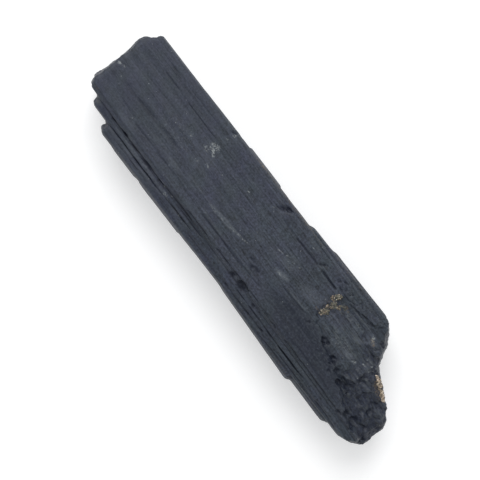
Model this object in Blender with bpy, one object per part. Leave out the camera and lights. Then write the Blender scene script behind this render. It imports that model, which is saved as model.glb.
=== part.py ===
"""Black tourmaline (schorl) crystal, lying on its flat underside, with two small crusts of matrix.

The crystal is one body: parallel prismatic columns that grew together, broken nearly square at the
blunt end and ragged at the tip. +X runs along it from the blunt end to the tip, +Y across it and +Z
up, with the origin under the middle of its box. Shapes are drawn in millimetres and brought to
metres as each mesh is finished.
"""

import math
from typing import NamedTuple

import bmesh
import bpy
import numpy as np
from mathutils import Vector, noise

MM = 0.001

# Driving dimensions, in millimetres
TOP_Z = 13.9  # the broad upper face, at its -Y edge
TOP_FALL = 0.4  # how much lower that face is at its +Y edge
TOP_Y = (-6.3, 8.8)  # the upper face's two edges
WAIST_Z = 6.5  # the height at which both broken ends reach furthest
STATION = 10.0  # spacing of the rings along a column
RIDGE_DEPTH = 0.2  # a striation's ridge, from trough to crest
RIDGE_RUN = 34.0  # length over which a ridge rises and fades
RIDGE_BEAT = 0.12  # the share of that depth by which every other edge stands back
LAYER = 0.75  # the thickness of the upper face's top layer, which is broken away towards the tip
LAYER_ROUGH = 0.12  # how rough the face under it is
SLOPE_X = 29.2  # beyond this the break goes down towards the tip
SLOPE = 0.27  # how steeply it goes down
SLOPE_ROUGH = 0.24  # how rough it is there
STAIR = 2.8  # the length of its treads
SHOULDER = 2.4  # how far back from the tip's outline its upper edge is broken away
SHOULDER_FALL = 1.0  # how far down it is broken at the outline
POCKET = ((18.4, 3.9), (1.9, 3.4), 0.55)  # middle, half size and depth of the hollow beside the step
BLUNT_LEAN = 0.055  # how far the blunt end leans back for each millimetre above the waist
RIM_WEAR = 0.5  # how far its upper and lower rims are worn back
TIP_LEAN_ABOVE = 1.1  # how far the tip leans back from the waist up to the top
TIP_LEAN_BELOW = 1.5  # and from the waist down to the rest face
BREAK_CELL_SHIFT = 0.4  # how unevenly a broken side is divided, as a share of its cells
CUTTER_Z = (-1.0, 15.0)  # the heights between which the two ends' cutters reach
BLUNT_WIDE = (-9.0, 11.0)  # their reach across the crystal
TIP_WIDE = (-12.0, 12.0)
TOP_CUT_X = (16.3, 46.6)  # the reach of the upper face's cutter
TOP_CUT_Y = (-12.5, 12.5)
ABOVE_FACE = 0.9  # how high the upper face's cutter stands where it takes nothing away
GROOVE_CLEAR = 1.5  # how far a groove's cutter stands above the surface
CLEARANCE = 0.3  # gap between the crystal and each crust
CLEAR_OF_ALL = 60.0  # far outside the crystal, where a cutter's back face lies

# The blunt end, the tip and the top layer as seen from above: (y, how far along X each reaches there)
BLUNT_OUTLINE = (
    (-8.0, -40.9), (-6.9, -42.0), (-6.6, -42.5), (-6.0, -42.9), (-5.2, -43.0), (-1.0, -42.9),
    (0.0, -43.0), (3.3, -43.0), (4.1, -43.4), (6.0, -43.4), (6.9, -43.1), (7.5, -42.4),
    (8.1, -41.8), (8.8, -41.6), (9.3, -41.1), (10.5, -40.4),
)  # fmt: skip
TIP_OUTLINE = (
    (-12.0, 33.0), (-10.4, 34.4), (-10.0, 35.0), (-9.75, 37.5), (-9.5, 39.4), (-9.1, 40.0),
    (-8.9, 41.0), (-8.3, 41.7), (-7.8, 42.2), (-7.3, 43.0), (-6.3, 43.4), (-5.0, 43.15),
    (-3.0, 43.4), (-2.3, 43.4), (-0.9, 42.8), (-0.3, 42.0), (0.1, 41.2), (0.8, 40.8),
    (1.3, 39.6), (2.3, 37.5), (3.15, 35.8), (3.2, 35.0), (3.6, 34.5), (4.3, 33.5),
    (5.0, 33.0), (6.3, 32.2), (7.6, 31.5), (8.3, 31.0), (9.35, 30.0), (10.1, 29.2),
    (10.9, 28.0), (12.0, 26.8),
)  # fmt: skip
LAYER_OUTLINE = (
    (-7.4, 47.0), (-6.9, 36.7), (-5.2, 33.3), (-3.7, 30.5), (-2.3, 25.8), (-1.4, 22.2),
    (-0.7, 19.0), (0.0, 16.9), (7.2, 16.9), (8.2, 24.0), (9.4, 26.5),
)  # fmt: skip


class Column(NamedTuple):
    """A prism along X, given by its (y, z) corners at both ends."""

    name: str
    x_from: float
    x_to: float
    corners_from: tuple
    corners_to: tuple
    ridge: float = 1.5  # breadth of one striation
    chamfer: float = 0.7  # how far each end is rounded in


class Groove(NamedTuple):
    """A V-shaped furrow along X, through points of (x, y, half width, depth) below height z."""

    name: str
    z: float
    points: tuple


class Lump(NamedTuple):
    """A pit's hollow or a grain: its middle, its radius and how much longer it is along X."""

    x: float
    y: float
    z: float
    radius: float
    stretch: float = 1.0


MAIN = Column(
    "main_column", -46.0, 46.0,
    ((-4.2, 0), (4.8, 0), (8.0, 3.2), (9.15, 7.0), (9.25, 12.2), (8.95, 13.4), (-6.2, 13.9), (-6.9, 13.0),
     (-7.0, 6.0), (-6.3, 2.4)),
    ((-4.6, 0), (5.6, 0), (9.0, 3.6), (10.1, 7.2), (10.15, 12.0), (9.8, 13.0), (-6.5, 13.6), (-7.2, 12.6),
     (-7.6, 6.0), (-6.8, 2.6)),
    ridge=1.05,
)  # fmt: skip

SIDE_COLUMNS = (
    Column(
        "upper_side_column", -38.9, 46.0,
        ((-4.0, 3.0), (-4.0, 12.7), (-7.5, 12.6), (-8.5, 12.1), (-8.75, 11.0), (-8.7, 5.0), (-7.4, 2.4)),
        ((-4.0, 3.0), (-4.0, 12.3), (-7.6, 12.2), (-8.9, 11.7), (-9.2, 10.6), (-9.1, 5.0), (-7.6, 2.4)),
        chamfer=0.9,
    ),
    Column(
        "lower_side_column", -34.3, 46.0,
        ((-4.5, 1.6), (-4.5, 12.1), (-9.2, 12.0), (-10.4, 11.6), (-10.8, 10.4), (-10.6, 4.8), (-8.8, 1.7)),
        ((-4.5, 1.6), (-4.5, 11.4), (-8.6, 11.3), (-9.2, 10.9), (-9.45, 9.8), (-9.3, 4.8), (-7.8, 1.7)),
        chamfer=1.3,
    ),
    Column(
        "low_bulge", 3.0, 25.0,
        ((-6.0, 2.6), (-6.0, 11.1), (-10.0, 10.9), (-10.4, 9.8), (-10.4, 5.2), (-9.2, 2.9)),
        ((-6.0, 2.6), (-6.0, 11.0), (-10.5, 10.8), (-11.0, 9.6), (-11.05, 5.2), (-9.6, 2.9)),
    ),
    Column(
        "low_tip_bulge", 22.0, 35.6,
        ((-6.0, 3.2), (-6.0, 10.6), (-9.9, 10.4), (-10.4, 9.3), (-10.4, 5.4), (-9.2, 3.4)),
        ((-6.0, 3.2), (-6.0, 10.5), (-9.9, 10.3), (-10.35, 9.2), (-10.35, 5.4), (-9.2, 3.4)),
    ),
    Column(
        "far_side_ledge", -14.7, -4.3,
        ((6.0, 5.2), (6.0, 12.0), (9.3, 11.7), (9.8, 10.7), (9.9, 7.4), (9.3, 5.4)),
        ((6.0, 5.2), (6.0, 12.0), (9.4, 11.7), (9.9, 10.7), (10.0, 7.4), (9.4, 5.4)),
    ),
    Column(
        "far_side_bulge", 4.4, 46.0,
        ((6.0, 3.0), (6.0, 12.9), (9.9, 12.5), (10.3, 11.7), (10.35, 7.4), (9.3, 3.3)),
        ((6.0, 2.0), (6.0, 12.5), (11.1, 12.1), (11.4, 11.2), (11.4, 6.4), (10.1, 2.6)),
    ),
    Column(
        "far_side_rib", -38.5, -16.4,
        ((7.0, 7.6), (7.0, 10.2), (9.15, 9.9), (9.4, 8.9), (9.25, 7.9)),
        ((7.0, 7.6), (7.0, 10.2), (9.5, 9.9), (9.75, 8.9), (9.6, 7.9)),
    ),
    Column(
        "far_middle_rib", -21.5, 9.5,
        ((7.0, 5.6), (7.0, 8.0), (9.5, 7.6), (9.75, 6.9), (9.4, 5.9)),
        ((7.0, 5.6), (7.0, 8.0), (9.8, 7.6), (10.1, 6.9), (9.7, 5.9)),
    ),
    Column(
        "bulge_upper_rib", 10.5, 27.2,
        ((8.0, 8.2), (8.0, 10.6), (10.6, 10.3), (10.85, 9.5), (10.65, 8.5)),
        ((8.0, 8.2), (8.0, 10.6), (11.0, 10.3), (11.25, 9.5), (11.05, 8.5)),
    ),
    Column(
        "bulge_foot_rib", -2.5, 24.0,
        ((6.0, 2.2), (6.0, 4.6), (9.1, 4.3), (9.4, 3.7), (8.7, 2.5)),
        ((6.0, 2.2), (6.0, 4.6), (10.2, 4.3), (10.5, 3.7), (9.7, 2.5)),
    ),
    Column(
        "far_foot_rib", -34.0, -8.0,
        ((5.0, 1.6), (5.0, 5.0), (8.9, 4.7), (9.15, 4.0), (7.9, 1.9)),
        ((5.0, 1.6), (5.0, 5.0), (9.2, 4.7), (9.45, 4.0), (8.1, 1.9)),
    ),
    Column(
        "near_foot_rib", -26.0, 5.0,
        ((-5.0, 1.0), (-5.0, 4.6), (-9.9, 4.3), (-10.2, 3.6), (-8.4, 1.3)),
        ((-5.0, 1.0), (-5.0, 4.6), (-9.6, 4.3), (-9.9, 3.6), (-8.0, 1.3)),
    ),
    Column(
        "near_middle_rib", -30.5, -9.0,
        ((-8.0, 5.4), (-8.0, 7.6), (-10.8, 7.3), (-11.0, 6.6), (-10.6, 5.7)),
        ((-8.0, 5.4), (-8.0, 7.6), (-10.5, 7.3), (-10.7, 6.6), (-10.3, 5.7)),
    ),
    Column(
        "near_upper_rib", -18.2, 7.5,
        ((-8.0, 7.8), (-8.0, 9.9), (-10.3, 9.6), (-10.65, 8.9), (-10.3, 8.0)),
        ((-8.0, 7.8), (-8.0, 9.9), (-9.9, 9.6), (-10.25, 8.9), (-9.9, 8.0)),
    ),
    Column(
        "upper_face_rib", -10.0, 7.0,
        ((-4.8, 12.5), (-4.7, 13.95), (-4.3, 14.1), (-3.8, 13.95), (-3.6, 12.5)),
        ((-4.8, 12.5), (-4.7, 13.7), (-4.3, 13.85), (-3.8, 13.7), (-3.6, 12.5)),
        ridge=3.0, chamfer=0.3,
    ),
)  # fmt: skip

GROOVES = (
    Groove("furrow_a", 13.2, ((-36.0, -7.1, 0.15, 0.1), (-34.2, -7.2, 0.32, 0.9), (-30.5, -7.25, 0.35, 1.0),
                              (-28.2, -7.25, 0.2, 0.5), (-25.5, -7.25, 0.3, 0.9), (-16.8, -7.25, 0.35, 1.0),
                              (-13.8, -7.1, 0.25, 0.7), (-8.0, -7.0, 0.2, 0.5), (-3.5, -6.9, 0.15, 0.1))),
    Groove("furrow_b", 12.1, ((-34.8, -8.7, 0.15, 0.1), (-33.0, -8.65, 0.25, 0.9), (-26.6, -8.65, 0.28, 1.0),
                              (-18.8, -8.6, 0.28, 1.0), (-12.9, -8.5, 0.2, 0.6), (-8.0, -8.5, 0.15, 0.1))),
    Groove("furrow_c", 13.6, ((-3.0, -6.45, 0.15, 0.1), (1.0, -6.5, 0.16, 0.3), (12.0, -6.6, 0.16, 0.3),
                              (21.5, -6.6, 0.22, 0.5), (29.5, -6.7, 0.2, 0.4), (34.5, -6.8, 0.15, 0.1))),
    Groove("furrow_d", 12.1, ((4.4, -8.15, 0.15, 0.1), (8.8, -8.2, 0.16, 0.35), (17.7, -8.3, 0.24, 0.6),
                              (24.6, -8.3, 0.24, 0.6), (27.5, -8.25, 0.15, 0.1))),
    Groove("face_crack", 13.35, ((-0.8, 6.55, 0.12, 0.1), (4.4, 6.55, 0.15, 0.25), (11.7, 6.5, 0.16, 0.3),
                                 (16.6, 6.6, 0.16, 0.35), (18.5, 6.55, 0.24, 0.55), (24.4, 6.55, 0.2, 0.45),
                                 (26.4, 6.6, 0.12, 0.1))),
    Groove("far_edge_line", 13.4, ((-36.7, 7.4, 0.12, 0.1), (-33.7, 7.4, 0.15, 0.2), (-27.4, 7.4, 0.12, 0.12),
                                   (-18.6, 7.5, 0.12, 0.1))),
)  # fmt: skip

PITS = (
    Lump(5.6, -7.0, 13.6, 1.1, 1.3),
    Lump(2.8, -7.1, 13.3, 0.7),
    Lump(9.8, -7.6, 12.65, 0.6),
    Lump(-1.3, 7.8, 13.9, 0.9, 1.3),
    Lump(-0.6, 8.7, 13.6, 0.75),
    Lump(-17.8, 9.2, 13.2, 0.6),
    Lump(23.2, -0.7, 14.0, 0.95, 0.8),
    Lump(26.5, -1.9, 14.1, 1.1),
    Lump(30.9, -3.2, 13.5, 0.9),
    Lump(38.5, -2.4, 11.7, 1.3, 0.5),
    Lump(35.1, -6.9, 13.6, 0.8, 1.5),
    Lump(17.9, -8.7, 12.3, 0.7, 1.6),
    Lump(-22.0, -11.3, 7.0, 0.8, 2.0),
    Lump(-1.0, 10.1, 5.2, 0.8, 2.4),
    Lump(16.0, 11.2, 7.2, 0.8, 1.8),
    Lump(-43.7, 1.0, 4.2, 1.1),
    Lump(-42.9, 5.4, 14.3, 1.1),
    Lump(-43.0, -4.0, 14.4, 0.9),
)

POCKET_GRAINS = (
    Lump(18.00, 6.20, 12.75, 0.68, 1.1),
    Lump(17.65, 5.25, 12.60, 0.65),
    Lump(18.45, 4.35, 12.60, 0.75),
    Lump(18.10, 3.45, 12.55, 0.70),
    Lump(18.85, 2.80, 12.45, 0.62),
    Lump(18.10, 2.05, 12.60, 0.75, 1.3),
    Lump(19.25, 4.70, 12.55, 0.48),
    Lump(19.80, 5.30, 12.60, 0.45),
    Lump(20.40, 5.80, 12.65, 0.45, 1.2),
)

TIP_GRAINS = (
    Lump(34.8, 2.75, 10.6, 0.46, 1.8),
    Lump(35.7, 2.35, 10.1, 0.52, 1.7),
    Lump(36.7, 1.90, 9.7, 0.54, 1.7),
    Lump(37.6, 1.50, 9.4, 0.52, 1.7),
    Lump(38.4, 1.15, 9.1, 0.46, 1.7),
)


def mix(a, b, share):
    """The value this share of the way from a to b."""
    return a + (b - a) * share


def smooth(value, low, high):
    """0 below low, 1 above high and an even rise between them."""
    share = min(1.0, max(0.0, (value - low) / (high - low)))
    return share * share * (3 - 2 * share)


def unevenness(x, y, z, size):
    """Soft noise from about -1 to 1, with features about size across."""
    spot = Vector((x, y, z)) / size
    return 1.4 * noise.noise(spot) + 0.6 * noise.noise(spot * 2.3)


def splinters(u, v, breadth):
    """A value from -1 to 1 that jumps from one broken column to the next. Their ends are uneven
    polygons about breadth across."""
    nearest = noise.voronoi(Vector((u / breadth, v / breadth, 0.5)))[1][0]
    return noise.cell(7.3 * nearest)


def face_height(y):
    """The height of the unbroken upper face."""
    return TOP_Z - TOP_FALL * (y - TOP_Y[0]) / (TOP_Y[1] - TOP_Y[0])


def reach(outline, y):
    """How far along X an outline of (y, x) points lies at y."""
    return float(np.interp(y, *zip(*outline)))


# Meshes


def finished(name, bm, parent, colour=None):
    """An object in metres from a bmesh in millimetres. One without a colour is a cutter or a helper."""
    bmesh.ops.recalc_face_normals(bm, faces=bm.faces)
    bmesh.ops.scale(bm, vec=(MM, MM, MM), verts=bm.verts)
    mesh = bpy.data.meshes.new(name)
    bm.to_mesh(mesh)
    bm.free()
    made = bpy.data.objects.new(name, mesh)
    bpy.context.scene.collection.objects.link(made)
    made.parent = parent
    if colour is None:
        made.hide_render = True
        made.display_type = "WIRE"
    else:
        mesh.materials.append(mineral(name, *colour))
    return made


def mineral(name, colour, roughness):
    """A material of its own for one node."""
    material = bpy.data.materials.new(name)
    material.use_nodes = True
    shader = material.node_tree.nodes["Principled BSDF"]
    shader.inputs["Base Color"].default_value = (*colour, 1.0)
    shader.inputs["Roughness"].default_value = roughness
    shader.inputs["Metallic"].default_value = 0.0
    return material


def lofted(rings):
    """A closed body through rings that all have the same number of points."""
    bm = bmesh.new()
    end = bm.faces.new([bm.verts.new(point) for point in rings[0]])
    for count, ring in enumerate(rings[1:]):
        made = bmesh.ops.extrude_face_region(bm, geom=[end])["geom"]
        if count:
            bmesh.ops.delete(bm, geom=[end], context="FACES_ONLY")
        end = next(item for item in made if isinstance(item, bmesh.types.BMFace))
        for vert, point in zip(end.verts, ring):
            vert.co = point
    return bm


def striated_section(column, share):
    """(y, z) round the column at this share of its length, a point at each striation's edge."""
    corners = [
        (mix(a[0], b[0], share), mix(a[1], b[1], share))
        for a, b in zip(column.corners_from, column.corners_to)
    ]
    found = []
    for i, start in enumerate(column.corners_from):
        strips = max(1, round(math.dist(start, column.corners_from[i - 1]) / column.ridge))
        if start[1] == column.corners_from[i - 1][1] == 0:
            strips = 1  # the rest face stays flat
        a, b = corners[i - 1], corners[i]
        found += [(mix(a[0], b[0], k / strips), mix(a[1], b[1], k / strips)) for k in range(strips)]
    return found


def column_body(column):
    """The column's mesh: ridges rise and fade along it, and both ends are rounded in."""
    middle_y = sum(y for y, _ in column.corners_from) / len(column.corners_from)
    middle_z = sum(z for _, z in column.corners_from) / len(column.corners_from)
    inner = np.linspace(
        column.x_from + column.chamfer,
        column.x_to - column.chamfer,
        2 + round((column.x_to - column.x_from) / STATION),
    )
    rings = []
    for x in (column.x_from, *inner, column.x_to):
        at_end = x in (column.x_from, column.x_to)
        ring = []
        share = (x - column.x_from) / (column.x_to - column.x_from)
        for k, (y, z) in enumerate(striated_section(column, share)):
            out = Vector((y - middle_y, z - middle_z)).normalized()
            beat = RIDGE_BEAT if k % 2 else -RIDGE_BEAT
            rise = RIDGE_DEPTH * (beat + noise.noise(Vector((x / RIDGE_RUN, 2.7 * k, middle_z))))
            rise -= column.chamfer if at_end else 0.0
            ragged = 0.5 * column.chamfer * noise.noise(Vector((y, z, x))) if at_end else 0.0
            lift = out[1] * rise if z > 0 else 0.0
            ring.append((x + ragged, y + out[0] * rise, max(0.0, z + lift)))
        rings.append(ring)
    return lofted(rings)


def groove_body(groove):
    """A wedge along the groove, standing well clear of the surface it cuts."""
    rings = []
    for x, y, half_width, depth in groove.points:
        foot = (x, y, groove.z - depth)
        crown = (x, y, groove.z + depth + GROOVE_CLEAR)
        sides = [(x, y + way * 2 * half_width, groove.z + depth) for way in (1, -1)]
        rings.append((foot, sides[0], crown, sides[1]))
    return lofted(rings)


def lump_body(lump, extra=0.0):
    """A rough ball. extra is added to its radius all round."""
    bm = bmesh.new()
    bmesh.ops.create_icosphere(bm, subdivisions=1, radius=1.0)
    middle = Vector((lump.x, lump.y, lump.z))
    for vert in bm.verts:
        way = vert.co.normalized()
        uneven = mix(1.1, 1.5, noise.noise(2.1 * way + 3 * middle))
        way.x *= lump.stretch
        vert.co = middle + way * (lump.radius * uneven + 1.25 * extra)  # its flats lie inside its corners
    return bm


def break_body(cuts, place, back):
    """A block with one broken side. place(u, v), each from 0 to 1, is a point of that side, and
    back(point) is the point of the block's far side behind it."""
    bm = bmesh.new()
    bmesh.ops.create_grid(bm, x_segments=cuts[0], y_segments=cuts[1], size=0.5)
    for vert in bm.verts:
        spot = 40 * vert.co
        u = vert.co.x + 0.5 + BREAK_CELL_SHIFT * noise.cell(spot) / cuts[0]
        v = vert.co.y + 0.5 + BREAK_CELL_SHIFT * noise.cell(spot.yxz) / cuts[1]
        vert.co = place(u, v)
    made = bmesh.ops.extrude_face_region(bm, geom=bm.faces[:])["geom"]
    for vert in (item for item in made if isinstance(item, bmesh.types.BMVert)):
        vert.co = back(vert.co)
    return bm


def blunt_break(u, v):
    """The nearly square break at the blunt end, worn back at its rims."""
    y = mix(*BLUNT_WIDE, u)
    z = mix(*CUTTER_Z, v)
    rim = abs(z - WAIST_Z) / (TOP_Z - WAIST_Z)
    x = reach(BLUNT_OUTLINE, y) + RIM_WEAR * rim**3 + BLUNT_LEAN * max(0.0, z - WAIST_Z)
    terraces = 0.22 * splinters(y, z, 3.1)
    x += 0.15 + terraces + 0.15 * unevenness(0.0, y, z, 2.4)
    return Vector((x, y, z))


def tip_break(u, v):
    """The ragged break round the tip: it leans back above and below an uneven waist."""
    y = mix(*TIP_WIDE, u)
    z = mix(*CUTTER_Z, v)
    waist = WAIST_Z + 1.8 * unevenness(3.0, y, 0.0, 5.0)
    above = max(0.0, z - waist) / (TOP_Z - WAIST_Z)
    below = max(0.0, waist - z) / WAIST_Z
    x = reach(TIP_OUTLINE, y) + 0.15
    x -= (TIP_LEAN_ABOVE + unevenness(0.0, y, 1.0, 4.0)) * above**1.4
    x -= (TIP_LEAN_BELOW + unevenness(0.0, y, 8.0, 4.0)) * below**1.6
    step = mix(0.25, 0.7, min(1.0, above + below))
    x -= step * (1 + splinters(y, z, 2.4)) / 2 + 0.2 * unevenness(0.0, y, z, 1.6)
    return Vector((x, y, z))


def top_break(u, v):
    """The upper face's missing layer with its hollow, then the stepped slope down to the tip."""
    x = mix(*TOP_CUT_X, u)
    y = mix(*TOP_CUT_Y, v)
    layer_gone = smooth(x - reach(LAYER_OUTLINE, y), 0.0, 1.0)
    past_slope = x - SLOPE_X
    slope_gone = layer_gone * smooth(past_slope, -1.5, 1.0)
    tread = STAIR * round((past_slope + 1.5 * splinters(0.3 * x, y, 2.2)) / STAIR)
    (pocket_x, pocket_y), (half_x, half_y), pocket_depth = POCKET
    in_pocket = max(0.0, 1 - math.hypot((x - pocket_x) / half_x, (y - pocket_y) / half_y))
    near_outline = max(0.0, 1 - (reach(TIP_OUTLINE, y) - x) / SHOULDER)
    depth = LAYER * layer_gone + pocket_depth * in_pocket
    depth += SLOPE * max(0.0, mix(past_slope, tread, 0.7)) + SHOULDER_FALL * slope_gone * near_outline**2
    roughness = LAYER_ROUGH * layer_gone + SLOPE_ROUGH * slope_gone
    rough = roughness * (unevenness(0.6 * x, y, 0.0, 1.5) + splinters(0.4 * x, y, 1.7))
    return Vector((x, y, face_height(y) + mix(ABOVE_FACE, rough - depth, layer_gone)))


# Booleans


def with_boolean(target, operand, operation):
    """Adds the modifier that joins operand to target or cuts it away."""
    modifier = target.modifiers.new(f"{operation.lower()}_{operand.name}", "BOOLEAN")
    modifier.operation = operation
    modifier.solver = "EXACT"
    modifier.object = operand


def crystal(frame):
    """The one solid of the crystal: its columns joined, then its breaks, furrows and pits cut."""
    body = finished("tourmaline_crystal", column_body(MAIN), frame, ((0.030, 0.033, 0.042), 0.5))
    for column in SIDE_COLUMNS:
        with_boolean(body, finished(column.name, column_body(column), frame), "UNION")
    blunt = break_body((22, 13), blunt_break, lambda p: Vector((-CLEAR_OF_ALL, p.y, p.z)))
    tip = break_body((36, 14), tip_break, lambda p: Vector((CLEAR_OF_ALL, p.y, p.z)))
    top = break_body((32, 28), top_break, lambda p: Vector((p.x, p.y, CLEAR_OF_ALL)))
    breaks = {"blunt_break": blunt, "tip_break": tip, "top_break": top}
    cutters = [finished(name, bm, frame) for name, bm in breaks.items()]
    cutters += [finished(groove.name, groove_body(groove), frame) for groove in GROOVES]
    cutters += [finished(f"pit_{n:02d}", lump_body(pit), frame) for n, pit in enumerate(PITS, 1)]
    cutters.append(joined_lumps("pocket_seat", POCKET_GRAINS, frame, extra=CLEARANCE))
    cutters.append(joined_lumps("tip_seat", TIP_GRAINS, frame, extra=CLEARANCE))
    for cutter in cutters:
        with_boolean(body, cutter, "DIFFERENCE")
    return body


def joined_lumps(name, lumps, frame, extra=0.0, colour=None):
    """Overlapping lumps joined into one body: a crust of grains, or the seat that it lies in."""
    body = finished(name, lump_body(lumps[0], extra), frame, colour)
    for n, lump in enumerate(lumps[1:], 2):
        helper = finished(f"{name}_{n:02d}", lump_body(lump, extra), frame)
        with_boolean(body, helper, "UNION")
    return body


def centre(frame, nodes):
    """Moves the frame so that the origin is under the middle of the nodes' box."""
    bpy.context.view_layer.update()
    graph = bpy.context.evaluated_depsgraph_get()
    points = [v.co for node in nodes for v in node.evaluated_get(graph).data.vertices]
    low = Vector(min(p[i] for p in points) for i in range(3))
    high = Vector(max(p[i] for p in points) for i in range(3))
    frame.location = (-(low.x + high.x) / 2, -(low.y + high.y) / 2, -low.z)


def main():
    for old in list(bpy.data.objects):
        bpy.data.objects.remove(old, do_unlink=True)
    frame = bpy.data.objects.new("crystal_frame", None)
    bpy.context.scene.collection.objects.link(frame)
    nodes = [
        crystal(frame),
        joined_lumps("matrix_in_pocket", POCKET_GRAINS, frame, colour=((0.52, 0.42, 0.27), 0.85)),
        joined_lumps("matrix_on_tip", TIP_GRAINS, frame, colour=((0.62, 0.43, 0.22), 0.85)),
    ]
    centre(frame, nodes)


main()
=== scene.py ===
"""Dresses a black tourmaline crystal: striated prism faces, broken ends and two crusts of matrix.

Sizes and places are in millimetres in the crystal's own axes, unless a comment says otherwise: x runs
from the blunt end to the tip, y across the crystal and z up. Meshes are brought to metres as each is
finished.
"""

import itertools
import logging
import math
import random
from dataclasses import dataclass
from enum import Enum
from functools import cache

import bmesh
import bpy
import numpy as np
from bmesh.types import BMesh
from bpy.types import Material, Mesh, Node, NodeSocket, NodeTree, Object
from mathutils import Matrix, Vector


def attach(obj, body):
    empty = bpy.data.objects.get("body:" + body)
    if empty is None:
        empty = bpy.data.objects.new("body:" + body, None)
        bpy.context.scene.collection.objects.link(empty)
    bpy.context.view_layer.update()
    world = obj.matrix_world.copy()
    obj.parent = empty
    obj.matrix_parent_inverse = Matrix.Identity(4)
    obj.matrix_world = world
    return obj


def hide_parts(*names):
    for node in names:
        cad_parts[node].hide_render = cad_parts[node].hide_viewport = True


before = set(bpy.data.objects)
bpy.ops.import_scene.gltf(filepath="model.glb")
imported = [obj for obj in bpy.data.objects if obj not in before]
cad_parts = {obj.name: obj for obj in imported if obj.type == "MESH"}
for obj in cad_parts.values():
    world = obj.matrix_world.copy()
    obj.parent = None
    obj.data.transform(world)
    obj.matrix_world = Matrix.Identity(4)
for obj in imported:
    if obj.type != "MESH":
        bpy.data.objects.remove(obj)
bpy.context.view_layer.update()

MM = 0.001
AXES_SHIFT = (-0.051, -0.045, 0.0)  # where the crystal's own origin lies in the frame
FACE_Z = 13.7  # the broad upper face
MIDDLE_Z = 6.8  # half the crystal's thickness

MIXERS = (np.uint64(0x9E3779B97F4A7C15), np.uint64(0xBF58476D1CE4E5B9))  # odd numbers that scatter bits

Array = np.ndarray
Size = tuple[float, float, float]  # along x, y and z
log = logging.getLogger("tourmaline")


@dataclass(frozen=True)
class Overhead:
    """The camera's place straight above the crystal, in the frame's axes."""

    aim: tuple[float, float] = (-1.55, -2.16)
    marks_aim: tuple[float, float] = (-1.41, -2.13)  # the same point in the axes of the marks below
    sharp_z: float = 6.5
    distance: float = 304.0
    lens: float = 120.0
    turn: float = 53.0

    def seen(self, points: Array) -> Array:
        """Where each point appears from the camera, for marks placed as they are seen.

        Args:
            points: places on the crystal, in rows.

        Returns:
            The same rows, brought to the level of sharp_z.
        """
        nearer = self.distance / (self.distance - (points[:, 2] - self.sharp_z))
        aim = np.array(self.aim) - np.array(AXES_SHIFT[:2])
        plan = np.array(self.marks_aim) + (points[:, :2] - aim) * nearer[:, None]
        return np.column_stack([plan, points[:, 2]])


OVERHEAD = Overhead()


# Values that vary over a surface


def eased(value: Array, low: float, high: float) -> Array:
    """Rises smoothly from 0 at low to 1 at high, or falls where high is below low."""
    share = np.clip((value - low) / (high - low), 0.0, 1.0)
    return share * share * (3.0 - 2.0 * share)


def scattered(cells: Array, seed: int) -> Array:
    """An unrelated value for each whole-numbered cell.

    Args:
        cells: whole numbers, a row for each cell.
        seed: picks another set.

    Returns:
        A value from -1 to 1 for each row.
    """
    mixed = np.full(len(cells), seed * 7919 + 17, dtype=np.uint64)
    for column in np.atleast_2d(cells.T).astype(np.int64).view(np.uint64):
        mixed = (mixed ^ column) * MIXERS[0]
        mixed = (mixed ^ (mixed >> np.uint64(29))) * MIXERS[1]
        mixed ^= mixed >> np.uint64(32)
    return (mixed >> np.uint64(11)).astype(float) / 2.0**52 - 1.0


def soft_noise(points: Array, lump: Size, seed: int) -> Array:
    """Soft lumps of a given size.

    Args:
        points: places, in rows.
        lump: how long a lump is.
        seed: picks another set.

    Returns:
        A value from -1 to 1 for each point.
    """
    scaled = points / np.array(lump)
    cell = np.floor(scaled)
    share = eased(scaled - cell, 0.0, 1.0)
    total = np.zeros(len(points))
    for corner in itertools.product((0, 1), repeat=3):
        near = np.prod(np.where(corner, share, 1.0 - share), axis=1)
        total += near * scattered(cell + np.array(corner), seed)
    return total


def facets(points: Array, size: Size, seed: int) -> Array:
    """Small flat faces at random tilts, as a broken surface has.

    Args:
        points: places, in rows.
        size: how long a facet is.
        seed: picks another set.

    Returns:
        A height from about -1 to 1 for each point.
    """
    scaled = points / np.array(size)
    base = np.floor(scaled)
    nearest = np.full(len(points), np.inf)
    height = np.zeros(len(points))
    for offset in itertools.product((-1, 0, 1), repeat=3):
        cell = base + np.array(offset)
        shift_x, shift_y, shift_z, *tilt, level = (scattered(cell, seed + k) for k in range(7))
        away = scaled - (cell + 0.5 + 0.42 * np.column_stack([shift_x, shift_y, shift_z]))
        distance = np.einsum("ij,ij->i", away, away)
        here = 0.45 * level + 0.9 * np.einsum("ij,ij->i", away, np.column_stack(tilt))
        height = np.where(distance < nearest, here, height)
        nearest = np.minimum(nearest, distance)
    return height


def broken_grain(points: Array, share: Array, *sizes: tuple) -> Array:
    """Facets of several sizes together.

    Args:
        points: places, in rows.
        share: how strong they are at each point.
        sizes: each one's height, its length along x, y and z, and its seed.

    Returns:
        A height for each point.
    """
    height = np.zeros(len(points))
    rough = share > 0.0
    for tall, size, seed in sizes:
        height[rough] += tall * facets(points[rough], size, seed)
    return height * share


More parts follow.
